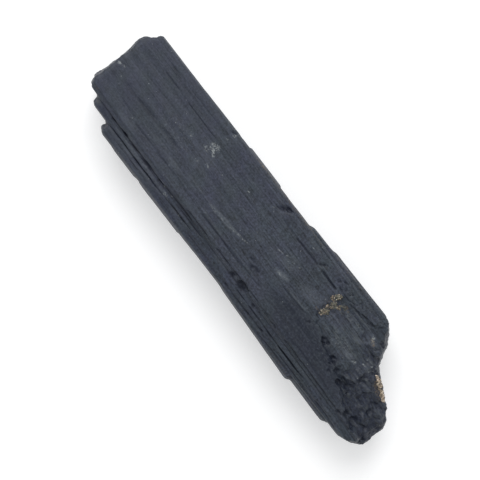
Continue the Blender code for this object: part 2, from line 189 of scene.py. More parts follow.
@dataclass(frozen=True)
class GrowthLanes:
    """Narrow strips side by side round the crystal, each stepping up and down along it."""

    breadth: float
    run: float
    step: float
    groove: float
    seed: int
    bank: float = 0.12  # half the breadth of the slope between two strips

    def height(self, around: Array, along: Array) -> Array:
        """How far the strips stand proud.

        Args:
            around: how far round the crystal each point lies.
            along: how far along it.

        Returns:
            A height for each point.
        """
        places = around / self.breadth
        cells = np.stack([np.floor(places) + k for k in (-1, 0, 1)])
        middles = np.stack([cell + 0.5 + 0.4 * scattered(cell[:, None], self.seed) for cell in cells])
        gaps = np.abs(places - middles)
        order = np.argsort(gaps, axis=0)
        first, second, _ = np.take_along_axis(cells, order, axis=0)
        near, far, _ = np.take_along_axis(gaps, order, axis=0)
        border = 0.5 * self.breadth * (far - near)
        share = 0.5 * (1.0 - eased(border, 0.0, self.bank))
        mine, other = self.level(first, along), self.level(second, along)
        depth = 0.5 + 0.5 * scattered(np.stack([first + second, np.floor(along / 31.0)], 1), self.seed + 3)
        cut = self.groove * depth**2 * (1.0 - eased(border, 0.0, 2.0 * self.bank))
        return mine * (1.0 - share) + other * share - cut

    def level(self, lane: Array, along: Array) -> Array:
        """How high each strip stands.

        Args:
            lane: each point's strip.
            along: how far along the crystal it lies.

        Returns:
            A height for each point.
        """
        own = lane[:, None]
        stretch = self.run * (1.0 + 0.5 * scattered(own, self.seed + 1))
        places = along / stretch + 40.0 * scattered(own, self.seed + 2)
        cell = np.floor(places)
        arrived = eased((places - cell) * stretch, 0.0, 0.5)
        before = scattered(np.stack([lane, cell - 1.0], 1), self.seed + 4)
        after = scattered(np.stack([lane, cell], 1), self.seed + 4)
        return self.step * (before + (after - before) * arrived)


# Marks placed one by one


class Mark(Enum):
    """Whether a line is cut into the surface or stands proud of it."""

    FURROW = -1.0
    RIB = 1.0


@dataclass(frozen=True)
class Line:
    """A furrow or a rib along the upper side, from (x0, y0) to (x1, y1)."""

    mark: Mark
    x0: float
    y0: float
    x1: float
    y1: float
    half_width: float
    height: float
    taper: float = 2.0
    unbroken: bool = False

    def relief(self, x: Array, y: Array) -> Array:
        """The line's height at each point.

        Args:
            x: how far along the crystal.
            y: how far across it.

        Returns:
            A height for each point.
        """
        middle = self.y0 + (self.y1 - self.y0) * (x - self.x0) / (self.x1 - self.x0)
        lift = eased(np.abs(y - middle), self.half_width, 0.2 * self.half_width)
        taper = min(self.taper, 0.45 * (self.x1 - self.x0))
        present = eased(x, self.x0, self.x0 + taper) * eased(x, self.x1, self.x1 - taper)
        return self.mark.value * self.height * lift * present


@dataclass(frozen=True)
class Spot:
    """A place on the upper side with a size along x and y."""

    x: float
    y: float
    long: float
    wide: float
    strength: float = 1.0
    turn: float = 0.0

    def share(self, points: Array) -> Array:
        """How much each point belongs to the spot.

        Args:
            points: places, in rows.

        Returns:
            Its strength at its middle, falling to 0 at its rim.
        """
        east = points[:, 0] - self.x
        north = points[:, 1] - self.y
        cos, sin = math.cos(math.radians(self.turn)), math.sin(math.radians(self.turn))
        away = np.hypot((east * cos + north * sin) / self.long, (north * cos - east * sin) / self.wide)
        return self.strength * eased(away, 1.0, 0.35)


def lines(mark: Mark, *rows: tuple) -> tuple[Line, ...]:
    """A furrow or a rib for each row of x0, y0, x1, y1, half width and height."""
    return tuple(Line(mark, *row) for row in rows)


def spots(*rows: tuple[float, ...]) -> tuple[Spot, ...]:
    """A spot for each row of x, y, long, wide, strength and turn."""
    return tuple(Spot(*row) for row in rows)


FURROWS = lines(
    Mark.FURROW,
    # the two deep furrows between the columns, and what they fade into
    (-35.5, -7.25, -16, -7.35, 0.2, 0.16), (-16, -7.1, -9, -7.2, 0.2, 0.3),
    (-14, -7.7, -4, -7.7, 0.2, 0.3), (-13, -6.7, -0.5, -6.6, 0.2, 0.32),
    (-15.5, -8.5, -7, -8.5, 0.2, 0.3), (-31, -9.7, -20, -9.6, 0.2, 0.14),
    (-14, -9.4, -2, -9.3, 0.2, 0.16), (4, -9.4, 16, -9.4, 0.22, 0.22), (17, -9.5, 29, -9.4, 0.2, 0.14),
    # towards the tip on the same side
    (-2, -6.58, 17, -6.6, 0.2, 0.34), (6, -7.05, 13, -7.1, 0.16, 0.2), (17.5, -6.7, 36, -6.85, 0.26, 0.3),
    (5, -8.35, 18, -8.45, 0.22, 0.25), (18, -8.45, 28, -8.4, 0.24, 0.28),
    (37, -7.9, 41.7, -8.1, 0.24, 0.3), (30.5, -9, 38.5, -9.1, 0.2, 0.2), (20, -5.7, 31, -5.8, 0.18, 0.14),
    (19, -4.2, 28.5, -4.3, 0.18, 0.1),
    # the far half of the broad face
    (-37, 7.6, -33, 7.6, 0.22, 0.12), (-31, 7.55, -19, 7.7, 0.18, 0.06),
    (-36.5, 5.75, -30, 5.75, 0.2, 0.22), (-29, 5.75, -19, 5.7, 0.18, 0.2), (-15, 6.6, -8, 6.6, 0.28, 0.1),
    (-0.8, 6.9, 5.2, 6.75, 0.16, 0.18, 2, True), (4.6, 6.7, 11.6, 6.9, 0.19, 0.32, 0.6, True),
    (12.4, 6.9, 17.4, 6.8, 0.24, 0.46, 0.7, True), (18.5, 6.6, 27.5, 6.5, 0.2, 0.26),
    (4, 4.4, 17.2, 4.35, 0.15, 0.14), (13, 3.8, 17.2, 3.8, 0.13, 0.12), (6.5, 5.6, 16.5, 5.6, 0.13, 0.1),
    (10, 0.15, 16.8, 0.35, 0.15, 0.14), (10, -0.98, 17.4, -0.6, 0.16, 0.2, 1, True),
    (8, 2.6, 17, 2.6, 0.13, 0.08), (-6, 8.9, 3.5, 9, 0.2, 0.12), (6, 9.2, 15, 9.3, 0.2, 0.14),
    # the middle of the broad face
    (-39, -1.2, -21.5, -1.2, 0.75, 0.1), (-38.5, -3.9, -30.5, -4.1, 0.25, 0.08),
    (-32, -4.7, -13.8, -4.75, 0.25, 0.12), (-10.2, -4.95, 5.2, -4.9, 0.18, 0.14),
    (-9.6, -3.55, -3, -3.5, 0.16, 0.08), (-8.6, -1.95, 1.5, -1.15, 0.16, 0.12),
    (0, -2.3, 8, -2.4, 0.18, 0.06), (-25, 1.4, -13, 1.4, 0.2, 0.06), (-12, 3.6, -1, 3.7, 0.2, 0.06),
)

RIBS = lines(
    Mark.RIB,
    # beside the two deep furrows
    (-36.5, -6.85, -17, -6.9, 0.42, 0.24), (-35, -8.75, -14, -8.7, 0.4, 0.2),
    (-34, -9.3, -15, -9.2, 0.4, 0.12), (-34, -8.15, -15, -8.1, 0.35, 0.15),
    # towards the tip on the same side
    (16.5, -7.6, 33, -7.7, 0.28, 0.12), (30, -8.5, 39.5, -8.6, 0.3, 0.14),
    (21, -5.2, 30.5, -5.3, 0.22, 0.08),
    # the far half of the broad face
    (11.2, -0.62, 17.8, -0.15, 0.22, 0.12, 0.6, True),
    # the middle of the broad face
    (-9.6, -4.6, -1.5, -4.6, 0.28, 0.1, 0.5), (-11.6, -2.6, 0.6, -1.5, 0.22, 0.12, 0.6),
    (-27.5, -3.1, -22, -3.1, 0.3, 0.07), (-17, -2.6, -11.8, -2.6, 0.28, 0.08),
)

# small pieces broken out of the upper side
CHIPS = spots(
    (2.9, -7.2, 0.75, 0.6, 0.5), (5.4, -7.1, 1.2, 0.8, 0.65), (6.2, -7.5, 0.8, 0.4, 0.45, -40),
    (6.9, -7.2, 0.8, 0.3, 0.4), (10, -7.7, 0.5, 0.45, 0.5), (12, -7.5, 0.4, 0.35, 0.35),
    (3.7, -9.4, 0.6, 0.35, 0.35), (10.5, -9.3, 0.5, 0.35, 0.35), (14.5, -9.3, 0.6, 0.35, 0.35),
    (2.8, -2.6, 0.7, 0.3, 0.45, 30), (3.9, -3.3, 0.9, 0.28, 0.5, -60), (5.2, -3, 0.7, 0.25, 0.4, -20),
    (-1.9, 7.5, 0.7, 0.25, 0.5, 30), (-1, 7.9, 1.1, 0.22, 0.6, 30), (-0.7, 8.4, 1.2, 0.22, 0.7, 22),
    (-0.4, 8.9, 0.9, 0.22, 0.6, 12), (-18.2, 9.3, 0.5, 0.45, 0.4), (-34, -7.4, 0.7, 0.34, 0.4),
    (-30.4, -7.4, 1.1, 0.36, 0.5), (-27.4, -7.5, 1.1, 0.28, 0.35), (-23.8, -7.65, 2, 0.34, 0.4),
    (23.7, -0.8, 0.95, 0.9, 0.35), (23.3, -0.5, 0.55, 0.32, 0.75, 40), (23.9, -1.2, 0.65, 0.3, 0.8, -20),
    (24.3, -0.5, 0.4, 0.45, 0.7), (24.6, -2.6, 0.45, 0.4, 0.25), (27.4, -1.7, 1, 1, 0.25),
    (27, -1.4, 0.55, 0.28, 0.65, 60), (27.9, -1.9, 0.55, 0.3, 0.65, -10), (27.4, -2.6, 0.4, 0.28, 0.5),
    (28.5, -3.6, 0.5, 0.45, 0.4), (29.8, -2.2, 0.6, 0.5, 0.45), (31.5, -3.4, 0.9, 0.7, 0.5),
    (32.9, -2.8, 0.6, 0.5, 0.45), (34, -3.2, 0.6, 0.6, 0.45), (33.7, 1.2, 0.9, 0.7, 0.5),
    (39.4, -2.1, 0.6, 1.5, 0.5, 12), (41.2, -4.7, 0.7, 0.5, 0.35), (43.1, -6.8, 0.8, 0.7, 0.9),
    (36, -7, 0.9, 0.4, 0.4), (-12, -0.6, 0.4, 0.25, 0.12), (-26.5, 1.8, 0.4, 0.25, 0.1),
)

# short cracks, most of them near the far edge
CRACKS = spots(
    (11.9, 7.6, 1.25, 0.22, 0.42, 46), (8.5, 8, 1.2, 0.14, 0.15, 62), (16.2, 8.1, 1.1, 0.2, 0.28, 70),
    (18.4, 8.2, 0.9, 0.2, 0.28, 118), (17.2, 9, 0.9, 0.2, 0.28, 14), (17.7, 7.5, 1.1, 0.2, 0.28, -18),
    (19.8, 8.6, 0.9, 0.18, 0.25, 60), (21, 7.7, 1, 0.18, 0.25, 20), (22.6, 8.9, 1, 0.18, 0.25, -35),
    (24.6, 8, 1.2, 0.18, 0.25, 12), (18.9, -1.1, 0.6, 0.16, 0.35, 48), (-10, -4.2, 0.14, 0.75, 0.2),
    (22, 8.4, 0.9, 0.13, 0.15, 70), (13.8, 9.2, 0.7, 0.13, 0.15, 110),
)

# scuffs, dusty pale specks, and painted highlights along edges that catch the light
PALE_AND_HIGHLIGHTS = spots(
    (-17.8, 3.9, 1.1, 0.45, 1, -35), (-16.9, 3.35, 0.45, 0.3, 0.9), (-18.5, 4.7, 1.7, 1.4, 0.5),
    (-19.3, 3.2, 1.2, 0.9, 0.36), (-18.2, 0.6, 1.1, 0.5, 0.35), (-16.8, 1.3, 0.45, 0.35, 0.5),
    (-13.4, 2.6, 0.3, 0.25, 0.6), (-17.8, 8.9, 0.7, 0.5, 0.6), (-18.2, 7.4, 0.5, 0.3, 0.4),
    (-39.6, -1.4, 0.3, 0.25, 0.6), (-38.7, -2.6, 0.28, 0.22, 0.5), (-39.8, -3.4, 0.28, 0.22, 0.5),
    (-35, 2.9, 0.28, 0.22, 0.7), (-35.4, -3.4, 0.28, 0.22, 0.5), (-22.9, 2.4, 0.26, 0.22, 0.7),
    (-21.7, -0.2, 0.26, 0.22, 0.6), (-15.6, -0.3, 0.26, 0.22, 0.5), (-8, 4.75, 0.28, 0.24, 0.7),
    (-5.6, 1.2, 0.26, 0.22, 0.5), (-2.6, 6.65, 0.4, 0.24, 0.6), (0.5, -5.3, 0.3, 0.28, 0.7),
    (16.7, 0.2, 0.28, 0.22, 0.6), (-21, -9.1, 0.5, 0.22, 0.5), (-16.9, -8.35, 0.4, 0.22, 0.6),
    (25.5, 1.5, 4.5, 2.2, 0.22), (25, 5.5, 3.5, 1.6, 0.2), (-25, 1, 9, 5, 0.17),
    (-18.1, -7.4, 0.5, 0.24, 0.6), (-16.6, -8.1, 0.6, 0.3, 0.7), (-15.8, -7.5, 0.5, 0.26, 0.6),
    (24.4, 1.4, 0.3, 0.24, 0.5), (26.2, 2.8, 0.28, 0.22, 0.5), (22.6, 5.6, 0.28, 0.22, 0.5),
    (28.2, 0, 0.4, 0.28, 0.5), (33.4, 2.2, 0.3, 0.24, 0.7), (34, 3, 0.3, 0.22, 0.5),
    (36.3, -5.8, 0.26, 0.22, 0.5), (19.4, 8.6, 0.28, 0.24, 0.6), (-27, 4.3, 0.24, 0.2, 0.5),
    (-12.3, -8.6, 0.45, 0.28, 0.5), (9.9, 4.1, 0.24, 0.2, 0.5), (25.2, 0.6, 0.4, 0.3, 0.4),
    (22.1, -2.1, 0.3, 0.25, 0.4), (-42.1, -0.15, 0.75, 0.45, 0.85), (-41, 0.1, 0.8, 0.42, 0.6, 12),
    (-16.3, 1.3, 0.5, 0.34, 0.45), (-9.4, 9.8, 4.2, 0.24, 0.42, 2), (-7.8, -2.5, 4.6, 0.46, 0.34, 3),
    (-2.2, -1.75, 4, 0.26, 0.44, 10), (8.2, 0.05, 1.2, 0.38, 0.46, 8), (9.4, 0.42, 1.2, 0.22, 0.38, 10),
    (5, 2.7, 0.55, 0.22, 0.5, 20), (6.3, 3.4, 0.7, 0.22, 0.5, 40), (7.2, 2.6, 0.6, 0.2, 0.42, 30),
    (8.2, 3.3, 0.6, 0.22, 0.5, 65), (9.7, 3.7, 0.5, 0.22, 0.45), (8.5, 2.1, 0.6, 0.22, 0.5, -25),
    (10.6, 2.2, 0.4, 0.2, 0.45), (7.5, 3, 3, 1.2, 0.16, 15), (8.5, 8.3, 0.8, 0.16, 0.6, 45),
    (9.1, 9.5, 1, 0.16, 0.6, 85), (30, 1.2, 0.85, 0.42, 0.85), (31.7, 2.35, 0.55, 0.3, 0.8),
    (31.3, 3.5, 0.35, 0.26, 0.6), (32.9, 3.3, 0.45, 0.3, 0.8), (28.8, 6.75, 1.3, 0.32, 1.2, -34),
    (35.4, -2.4, 0.26, 0.22, 0.6),
)

# lighter and darker patches: partly the crystal's own tone, partly painted light and painted shade
TONES = spots(
    # dusty and lighter, and painted light on lit edges and on shaded ledges
    (-38.4, -7.8, 1.4, 0.7, 0.5), (-36.8, -7, 1.2, 0.4, 0.4), (-32.5, -8, 2.2, 0.35, 0.4),
    (-26, -9.8, 9.5, 1.1, 0.55), (-25, -8.2, 9.5, 0.5, 1.2), (-26.5, -6.9, 9, 0.45, 0.5),
    (-32.5, -5.8, 3.4, 0.9, 0.45), (-12, -9.2, 4, 0.6, 0.45), (-0.4, -7.5, 3, 0.8, 0.7),
    (-24, -3.3, 6.5, 0.9, 0.35), (-15, -2.6, 4, 0.8, 0.35), (-18, 1.8, 3.2, 3.4, 0.3),
    (-17.2, 7.8, 2.2, 1.4, 0.25), (-30.5, 2.2, 3, 1.6, 0.12), (-38.5, 1.5, 3, 2.6, 0.15),
    (-5.6, -2.1, 6.6, 0.62, 1.15, 5.4), (-20, -3.6, 3.4, 0.7, 0.45), (-5.6, -4.6, 4.4, 0.26, 0.6),
    (-17.5, -8.25, 2.2, 0.35, 0.7), (-13.5, -8.6, 2, 0.5, 0.35), (0.5, 1, 2.6, 0.9, 0.4),
    (4.4, 1.4, 2.6, 1, 0.4), (8.8, 0.3, 2.5, 0.75, 1.4, 8), (7.8, 2.6, 3.2, 1.4, 0.45, 15),
    (7.8, 4, 1.8, 0.5, 0.5), (15, 2.1, 3.8, 2, 0.58, 18), (14.6, -0.38, 3.6, 0.34, 0.95, 4.6),
    (8.5, 8.3, 0.9, 0.2, 1, 45), (9.1, 9.5, 1.1, 0.2, 1, 85), (8.2, 8.6, 2.8, 0.9, 0.35),
    (13.5, 9.7, 3.5, 0.7, 0.3), (25, 3.6, 5, 2.6, 0.15), (28.9, 1.2, 2.3, 0.75, 1.4),
    (32, 1.8, 3, 2.4, 0.35), (33, 2.4, 1.4, 1.2, 0.6), (28.5, 6.4, 2.2, 0.8, 0.4, -20),
    (26, -7.7, 9, 0.35, 0.6), (35, -8.4, 4.6, 0.32, 0.6), (36.5, -6, 1.6, 0.8, 0.25),
    (41.2, -1.2, 1.6, 0.9, 0.5), (40.4, 0.8, 0.9, 0.6, 0.6), (36, 0.2, 2, 1.1, 0.35),
    (33.5, -1, 1.6, 0.8, 0.3), (-0.6, 7, 1.6, 0.6, 0.35),
    # darker, below 0, and painted shade in the chips
    (-41.2, -2.2, 1.3, 0.7, -0.45), (-36, -1.5, 3.8, 0.8, -0.42), (-31.5, -1.4, 4.4, 0.8, -0.6),
    (-25, -1, 4.2, 0.6, -0.48), (-12.5, -7.2, 5.5, 0.8, -0.3), (-28, 6.6, 8, 1.1, -0.2),
    (-33.8, 7.3, 1.6, 0.5, -0.4), (-15.5, 6.6, 3.4, 1, -0.2), (1.5, 7.9, 2.4, 1.2, -0.25),
    (-0.9, 8.4, 1.7, 0.9, -0.5, 30), (4.4, -3.2, 1.8, 1, -0.35), (3.3, -2.2, 0.8, 0.3, -0.8, -50),
    (4, -3.1, 0.9, 0.28, -0.8, 30), (5, -3.2, 0.8, 0.26, -0.8, -45), (5.6, -7.1, 1.7, 1.1, -0.8),
    (2.9, -7.2, 0.9, 0.7, -0.6), (20.5, -3.4, 14.5, 4.2, -0.8), (31.5, -5.2, 6, 2.4, -0.4),
    (17.6, 8.3, 2, 1.2, -0.2), (29.4, 8.6, 2.4, 1.8, -0.2), (23.7, -0.8, 1.1, 1, -2),
    (27.5, -1.7, 1.2, 1, -1.6), (28.6, -3.3, 1.2, 0.7, -0.5), (31.4, -3.1, 1.9, 1, -0.55),
    (33.6, -3.2, 1.3, 0.9, -0.55), (33.9, 0.9, 1.5, 0.8, -0.45), (37, -3.4, 2.2, 1.6, -0.2),
    (39.4, -2.2, 0.9, 1.8, -0.75, 12), (41.8, -4, 1.6, 1.8, -0.3), (42.8, -2, 0.8, 1.4, -0.5),
    (37.6, -7.2, 3.4, 0.5, -0.5), (33, -9.2, 2.6, 0.4, -0.35), (13, -8.9, 7, 0.6, -0.25),
    (-34, -7.4, 0.8, 0.42, -1.5), (-30.4, -7.4, 1.2, 0.42, -1.7), (-27.4, -7.5, 1.2, 0.3, -1.2),
    (-23.8, -7.65, 2.2, 0.4, -1.4),
)

# brown stains
STAINS = spots(
    (18.6, 3.8, 2.4, 3.2, 0.25), (17.9, 1.7, 0.9, 0.28, 0.6), (21.4, 6.2, 1.2, 0.3, 0.55, -30),
    (29.3, 6.35, 1.3, 0.5, 0.7, -34), (-9.4, 9.8, 4.6, 0.3, 0.9, 2), (37.2, 1.7, 3, 1.3, 0.55, -24),
    (-40.8, -6.4, 1.6, 0.7, 0.3), (-38.6, -7.8, 0.9, 0.7, 0.3), (0, 9.75, 14, 0.45, 0.4),
    (15, 10.6, 12, 0.5, 0.3), (22, -10.3, 7, 0.6, 0.25),
)

# where the surface crumbles
CRUMBLY = spots(
    (22, 8.3, 8, 2.4), (-1, 8.4, 2.6, 1.3, 0.9), (12, -9.5, 17, 1.5, 0.6), (4.8, -7.3, 3, 1.3),
    (29, -2.4, 7, 2.2, 0.8), (-30.5, -7.3, 4.5, 0.5, 0.7), (38, -7.6, 5, 1.2, 0.5),
    (9, 2.4, 2.6, 1.5, 0.25),
)

# where the blunt end's outline is worn back by the spot's strength in millimetres, and which way
WORN = (
    (Spot(-42.2, -6.5, 1.7, 1.7, 0.34), (0.7, 0.7)),
    (Spot(-42.0, 7.8, 2.0, 1.0, 0.30), (1.0, 0.0)),
)


# Meshes


def merged_copy(name: str) -> BMesh:
    """A closed copy of a CAD node, in millimetres in the crystal's own axes.

    Args:
        name: the node's name.

    Returns:
        A new bmesh, which the caller frees.
    """
    bm = bmesh.new()
    bm.from_mesh(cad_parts[name].data)
    bmesh.ops.remove_doubles(bm, verts=bm.verts, dist=1e-7)
    to_own_axes = Matrix.Translation(-Vector(AXES_SHIFT)) @ Matrix.Scale(1.0 / MM, 4)
    bmesh.ops.transform(bm, matrix=to_own_axes, verts=bm.verts)
    return bm


def read(items: object, name: str, kind: type = np.float32, width: int = 3) -> Array:
    """A property of each of a mesh's vertices, normals or edges.

    Args:
        items: the vertices, normals or edges.
        name: the property's name.
        kind: the sort of number that it holds.
        width: how many numbers each one has.

    Returns:
        A row for each item.
    """
    flat = np.empty(width * len(items), kind)
    items.foreach_get(name, flat)
    return flat.reshape(-1, width)


def coordinates(mesh: Mesh) -> Array:
    """Where the mesh's vertices are, a row for each."""
    return read(mesh.vertices, "co").astype(float)


def set_coordinates(mesh: Mesh, points: Array) -> None:
    """Moves the mesh's vertices to the points given."""
    mesh.vertices.foreach_set("co", points.astype(np.float32).ravel())
    mesh.update()


def normals_of(mesh: Mesh) -> Array:
    """Which way the surface faces, a unit row for each vertex."""
    return read(mesh.vertex_normals, "vector").astype(float)


def linked(name: str, data: bpy.types.ID) -> Object:
    """A new object with this data, in the scene."""
    bpy.context.scene.collection.objects.link(made := bpy.data.objects.new(name, data))
    return made


class Neighbours:
    """Which vertices of a mesh share an edge."""

    def __init__(self, mesh: Mesh) -> None:
        """Reads the mesh's edges.

        Args:
            mesh: the mesh whose values are evened out.
        """
        ends = read(mesh.edges, "vertices", np.int32, 2)
        self.here, self.there = ends.T.ravel(), ends[:, ::-1].T.ravel()
        self.count = np.maximum(1, np.bincount(self.here, minlength=len(mesh.vertices)))

    def evened(self, values: Array, rounds: int) -> Array:
        """Values evened out between neighbours, again and again.

        Args:
            values: a row for each vertex.
            rounds: how many times.

        Returns:
            The values after the last round.
        """
        for _ in range(rounds):
            sums = [np.bincount(self.here, column[self.there], len(values)) for column in values.T]
            values = 0.5 * (values + np.stack(sums, axis=1) / self.count[:, None])
        return values


def remeshed(bm: BMesh, name: str, grain: float) -> Mesh:
    """One even closed skin round all that the bmesh holds.

    Args:
        bm: closed bodies, which may overlap. It is freed.
        name: the new mesh's name.
        grain: the size of the new faces.

    Returns:
        A new mesh of even quads.
    """
    rough = bpy.data.meshes.new(f"{name}_rough")
    bm.to_mesh(rough)
    bm.free()
    helper = linked(f"{name}_rough", rough)
    modifier = helper.modifiers.new("skin", "REMESH")
    modifier.mode = "VOXEL"
    modifier.voxel_size = grain
    modifier.adaptivity = 0.0
    graph = bpy.context.evaluated_depsgraph_get()
    mesh = bpy.data.meshes.new_from_object(helper.evaluated_get(graph))
    mesh.name = name
    bpy.data.objects.remove(helper)
    bpy.data.meshes.remove(rough)
    return mesh


def finished(mesh: Mesh, name: str, node: str, material: Material) -> Object:
    """Brings a mesh to metres and puts it in a CAD node's place.

    Args:
        mesh: the mesh, in millimetres.
        name: the piece's name.
        node: the CAD node that it stands for.
        material: its finish.

    Returns:
        The piece's object, riding on the crystal's body.
    """
    mesh.transform(Matrix.Scale(MM, 4) @ Matrix.Translation(Vector(AXES_SHIFT)))
    mesh.polygons.foreach_set("use_smooth", np.ones(len(mesh.polygons), bool))
    mesh.materials.clear()
    mesh.materials.append(material)
    piece = linked(name, mesh)
    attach(piece, "root")
    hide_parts(node)
    log.info("%s: %d faces", name, len(mesh.polygons))
    return piece


def store(mesh: Mesh, name: str, values: Array) -> None:
    """Keeps a number for each vertex, for the finish to read."""
    attribute = mesh.attributes.new(name, "FLOAT", "POINT")
    attribute.data.foreach_set("value", values.astype(np.float32))


# Finishes


class Sheet:
    """A node tree that is being filled in."""

    def __init__(self, tree: NodeTree) -> None:
        """Starts on a material's or a group's node tree."""
        self.tree = tree

    def feed(self, sockets: object, values: dict) -> None:
        """Feeds sockets with other nodes' outputs or with plain values.

        Args:
            sockets: a node's inputs.
            values: what each takes, by its name or number.
        """
        for key, value in values.items():
            if isinstance(value, NodeSocket):
                self.tree.links.new(value, sockets[key])
            else:
                sockets[key].default_value = value

    def node(self, kind: str, inputs: dict | None = None, **settings: object) -> Node:
        """Adds a node.

        Args:
            kind: Blender's name for it, without ShaderNode.
            inputs: what feeds its sockets, by name or number.
            settings: its own options.

        Returns:
            The new node.
        """
        made = self.tree.nodes.new(f"ShaderNode{kind}")
        for key, value in settings.items():
            setattr(made, key, value)
        self.feed(made.inputs, inputs or {})
        return made

    def group(self, tree: NodeTree, **inputs: object) -> object:
        """Places a shared effect with these inputs, and gives its outputs."""
        return self.node("Group", inputs, node_tree=tree).outputs

    def math(self, operation: str, *values: object) -> NodeSocket:
        """The result of a sum on one, two or three values."""
        return self.node("Math", dict(enumerate(values)), operation=operation).outputs[0]

    def times(self, first: object, second: object, added: object = 0.0) -> NodeSocket:
        """The product of two values, with a third added."""
        return self.math("MULTIPLY_ADD", first, second, added)

    def scaled(self, vector: object, factor: object) -> NodeSocket:
        """A place or a colour made this many times larger."""
        return self.node("VectorMath", {0: vector, 3: factor}, operation="SCALE").outputs[0]

    def ramp(self, value: object, low: float, high: float, to: tuple = (0.0, 1.0)) -> NodeSocket:
        """A value brought from the range low to high into another range, and kept inside it."""
        inputs = {"Value": value, "From Min": low, "From Max": high, "To Min": to[0], "To Max": to[1]}
        return self.node("MapRange", inputs, clamp=True).outputs[0]

    def blended(self, share: object, first: object, second: object) -> NodeSocket:
        """A colour this share of the way from the first to the second."""
        return self.node("Mix", {0: share, 6: first, 7: second}, data_type="RGBA").outputs[2]

    def noise(self, place: object, scale: object, detail: float = 3.0) -> NodeSocket:
        """Soft noise from 0 to 1 with this many lumps in a unit of length."""
        inputs = {"Vector": place, "Scale": scale, "Detail": detail, "Roughness": 0.6}
        return self.node("TexNoise", inputs).outputs["Fac"]

    def bump(self, height: object, distance: float) -> NodeSocket:
        """A normal for fine relief, whose height is measured in a distance in metres."""
        inputs = {"Strength": 1.0, "Distance": distance, "Height": height}
        return self.node("Bump", inputs).outputs[0]

    def attribute(self, name: str) -> NodeSocket:
        """The number that the mesh keeps under this name."""
        return self.node("Attribute", attribute_name=name).outputs["Fac"]

    def millimetres(self) -> NodeSocket:
        """The place on the piece, in millimetres."""
        return self.scaled(self.node("TexCoord").outputs["Object"], 1.0 / MM)


def new_group(name: str, inputs: dict[str, float], outputs: tuple[str, ...]) -> tuple:
    """An empty shader node group that is given a place and some numbers, and puts out numbers.

    Args:
        name: the group's name.
        inputs: each number's usual value.
        outputs: the names of its outputs.

    Returns:
        The group, a sheet for it, and the sockets that give its inputs and take its outputs.
    """
    tree = bpy.data.node_groups.new(name, "ShaderNodeTree")
    tree.interface.new_socket("Place", in_out="INPUT", socket_type="NodeSocketVector")
    for key, value in inputs.items():
        tree.interface.new_socket(key, in_out="INPUT", socket_type="NodeSocketFloat").default_value = value
    for key in outputs:
        tree.interface.new_socket(key, in_out="OUTPUT", socket_type="NodeSocketFloat")
    given, wanted = (tree.nodes.new(f"NodeGroup{end}") for end in ("Input", "Output"))
    return tree, Sheet(tree), given.outputs, wanted.inputs


@cache
def striation_group() -> NodeTree:
    """Fine lines along x: their height, and streaks of light and dark.

    Returns:
        The group.
    """
    tree, sheet, given, wanted = new_group("striation", {"Pitch": 0.3, "Run": 12.0}, ("Height", "Streak"))
    spacing = sheet.node("CombineXYZ", {0: given["Run"], 1: given["Pitch"], 2: given["Pitch"]})
    inputs = {0: given["Place"], 1: spacing.outputs[0]}
    place = sheet.node("VectorMath", inputs, operation="DIVIDE").outputs[0]
    streak = sheet.ramp(sheet.noise(place, 0.43, 4.0), 0.32, 0.68)
    sheet.feed(wanted, {"Height": sheet.noise(place, 1.0, 2.0), "Streak": streak})
    return tree


@cache
def grit_group() -> NodeTree:
    """Fine roughness the same in all directions: its height, and a mottle of light and dark.

    Returns:
        The group.
    """
    tree, sheet, given, wanted = new_group("grit", {"Size": 0.3}, ("Height", "Mottle"))
    scale = sheet.math("DIVIDE", 1.0, given["Size"])
    mottle = sheet.ramp(sheet.noise(given["Place"], sheet.times(scale, 0.37), 5.0), 0.3, 0.7)
    sheet.feed(wanted, {"Height": sheet.noise(given["Place"], scale, 4.0), "Mottle": mottle})
    return tree


@cache
def ridge_and_hollow_shading_group() -> NodeTree:
    """A painted highlight on ridges and painted shade in hollows, from how far a point stands above what is
    round it.

    Returns:
        The group.
    """
    names = ("Edges", "HollowShade")
    tree, sheet, given, wanted = new_group("ridge_and_hollow_shading", {"Relief": 0.0, "Reach": 0.05}, names)
    uneven = sheet.math("SUBTRACT", sheet.noise(given["Place"], 3.0), 0.5)
    share = sheet.math("DIVIDE", sheet.times(uneven, given["Reach"], given["Relief"]), given["Reach"])
    # the first output paints a highlight on ridges, the second paints shade in hollows
    sheet.feed(wanted, {"Edges": sheet.ramp(share, 0.2, 1.2), "HollowShade": sheet.ramp(share, -0.2, -2.0)})
    return tree


@cache
def flecks_group() -> NodeTree:
    """Small scattered flecks, each of its own size.

    Returns:
        The group.
    """
    numbers = {"Spacing": 1.0, "Radius": 0.1, "Share": 0.5}
    tree, sheet, given, wanted = new_group("flecks", numbers, ("Mask",))
    scale = sheet.math("DIVIDE", 1.0, given["Spacing"])
    cells = sheet.node("TexVoronoi", {"Vector": given["Place"], "Scale": scale}).outputs
    chance = sheet.node("SeparateColor", {0: cells["Color"]}).outputs[0]
    size = sheet.math("ADD", sheet.ramp(chance, 1.0, 0.0, (1.0, 0.0)), 0.3)
    radius = sheet.times(sheet.times(given["Radius"], scale), size)
    inside, there = (
        sheet.math("LESS_THAN", *pair) for pair in ((cells["Distance"], radius), (chance, given["Share"]))
    )
    sheet.feed(wanted, {"Mask": sheet.times(inside, there)})
    return tree


def new_material(name: str) -> tuple:
    """An empty material.

    Args:
        name: the material's name.

    Returns:
        The material, a sheet for its nodes and its shader's inputs.
    """
    material = bpy.data.materials.new(name)
    material.use_nodes = True
    return material, Sheet(material.node_tree), material.node_tree.nodes["Principled BSDF"].inputs


Colour = tuple[float, float, float, float]


